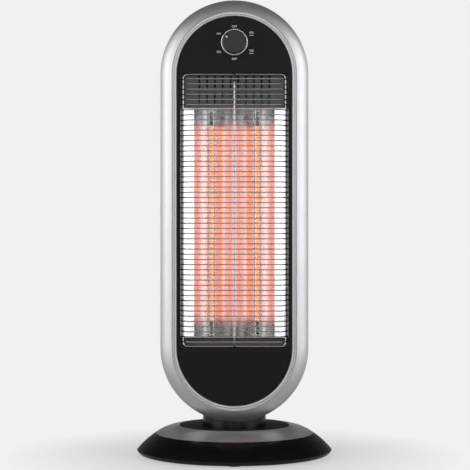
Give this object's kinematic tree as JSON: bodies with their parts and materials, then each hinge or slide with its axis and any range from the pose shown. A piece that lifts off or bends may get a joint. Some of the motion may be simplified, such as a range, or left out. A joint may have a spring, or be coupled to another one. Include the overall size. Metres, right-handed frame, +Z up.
{
  "type": "carbon heater",
  "caption": "Upright oscillating carbon heater: oval head with twin quartz tubes behind a wire guard, rotary knob, short neck and round base.",
  "frame": {"origin": "centre of the round base on the floor, under its feet, on the swing axis", "axes": "+Z up along the swing axis, -Y towards the heated side (front), +X to the right seen from the front"},
  "size_m": [0.28, 0.2799, 0.65],
  "materials": {
    "silver_paint": "silver lacquer on moulded plastic, satin",
    "black_panel": "black moulded ABS, fine satin grain",
    "vent_plate": "dark grey stove enamel on steel sheet",
    "black_gloss": "black moulded ABS, polished",
    "black_cover": "black moulded plastic, fine texture",
    "bright_reflector": "polished aluminium sheet",
    "guard_wire": "bright nickel-chrome plated steel wire",
    "quartz": "clear quartz glass tube",
    "carbon": "woven carbon fibre element, glowing",
    "ceramic_cap": "unglazed steatite",
    "zinc_steel": "zinc plated steel",
    "knob_black": "black moulded ABS, satin",
    "knob_chrome": "satin chrome plated plastic",
    "white_mark": "white inlay",
    "rubber_black": "moulded rubber",
    "ballast_steel": "raw steel plate",
    "nylon_white": "natural nylon",
    "switch_body": "phenolic moulding",
    "wire_sleeve": "silicone insulated wire",
    "spring_steel": "spring steel"
  },
  "bodies": {
    "base": {"base_cover": "black_gloss", "base_trim_ring": "silver_paint", "base_top_disc": "black_panel", "bottom_cover": "black_cover", "ballast_plate": "ballast_steel", "rubber_feet": "rubber_black", "base_screws": "zinc_steel", "bearing_plate": "zinc_steel", "slide_ring": "nylon_white", "bearing_screws": "zinc_steel", "swing_motor": "zinc_steel", "motor_posts": "nylon_white", "motor_screws": "zinc_steel", "tilt_bracket": "zinc_steel", "lever_pin": "zinc_steel", "tip_switch": "switch_body", "tilt_spring": "spring_steel", "cord_gland": "rubber_black", "base_terminal_block": "nylon_white", "base_wiring": "wire_sleeve"},
    "head": {"front_bezel": "silver_paint", "front_panel": "black_panel", "vent_grille": "vent_plate", "window_sill": "vent_plate", "guard": "guard_wire", "reflector": "bright_reflector", "reflector_ends": "bright_reflector", "quartz_tube_left": "quartz", "quartz_tube_right": "quartz", "carbon_filament_left": "carbon", "carbon_filament_right": "carbon", "tube_caps": "ceramic_cap", "tube_clips": "spring_steel", "heat_shield": "zinc_steel", "shield_screws": "zinc_steel", "rear_cover": "black_cover", "grip_cup": "black_cover", "case_screws": "zinc_steel", "thermal_cutout": "zinc_steel", "head_terminal_block": "ceramic_cap", "rotary_switch": "switch_body", "switch_nut": "zinc_steel", "head_wiring": "wire_sleeve", "swing_connector": "nylon_white", "neck_column": "black_gloss", "neck_screws": "zinc_steel", "swing_plate": "zinc_steel", "swing_screws": "zinc_steel"},
    "knob": {"knob_cap": "knob_black", "knob_ring": "knob_chrome", "knob_pointer": "white_mark", "switch_shaft": "zinc_steel"},
    "crank": {"motor_shaft": "zinc_steel", "motor_crank": "nylon_white"},
    "tilt_plunger_body": {"tilt_plunger": "nylon_white"},
    "tilt_lever_body": {"tilt_lever": "zinc_steel"},
    "tip_button_body": {"tip_switch_button": "white_mark"}
  },
  "joints": [
    {"name": "head_swing", "type": "hinge", "parent": "base", "child": "head", "pos_m": [0, 0, 0.033], "axis": [0, 0, 1], "range_deg": [-35, 35]},
    {"name": "knob_turn", "type": "hinge", "parent": "head", "child": "knob", "pos_m": [0, -0.0465, 0.59], "axis": [0, -1, 0], "continuous": true},
    {"name": "crank_turn", "type": "hinge", "parent": "base", "child": "crank", "pos_m": [0, 0.016, 0.02], "axis": [0, 0, 1], "range_deg": [-105, 105]},
    {"name": "tilt_plunger_slide", "type": "slide", "parent": "base", "child": "tilt_plunger_body", "axis": [0, 0, 1], "range_m": [-0.002, 0], "stiffness_N_per_m": 60, "springref_m": -0.008, "deforming": ["tilt_spring"]},
    {"name": "tilt_lever_turn", "type": "hinge", "parent": "base", "child": "tilt_lever_body", "pos_m": [-0.044, -0.05, 0.02323], "axis": [0, 1, 0], "range_deg": [-6.5, 0.1]},
    {"name": "tip_button_slide", "type": "slide", "parent": "base", "child": "tip_button_body", "axis": [0, 0, 1], "range_m": [-0.0001, 0.001]}
  ],
  "couplings": [
    {"joint": "crank_turn", "follows": "head_swing", "ratio": 3},
    {"joint": "tilt_lever_turn", "follows": "tilt_plunger_slide", "rad_per_m": 55.556},
    {"joint": "tip_button_slide", "follows": "tilt_plunger_slide", "ratio": -0.5}
  ]
}
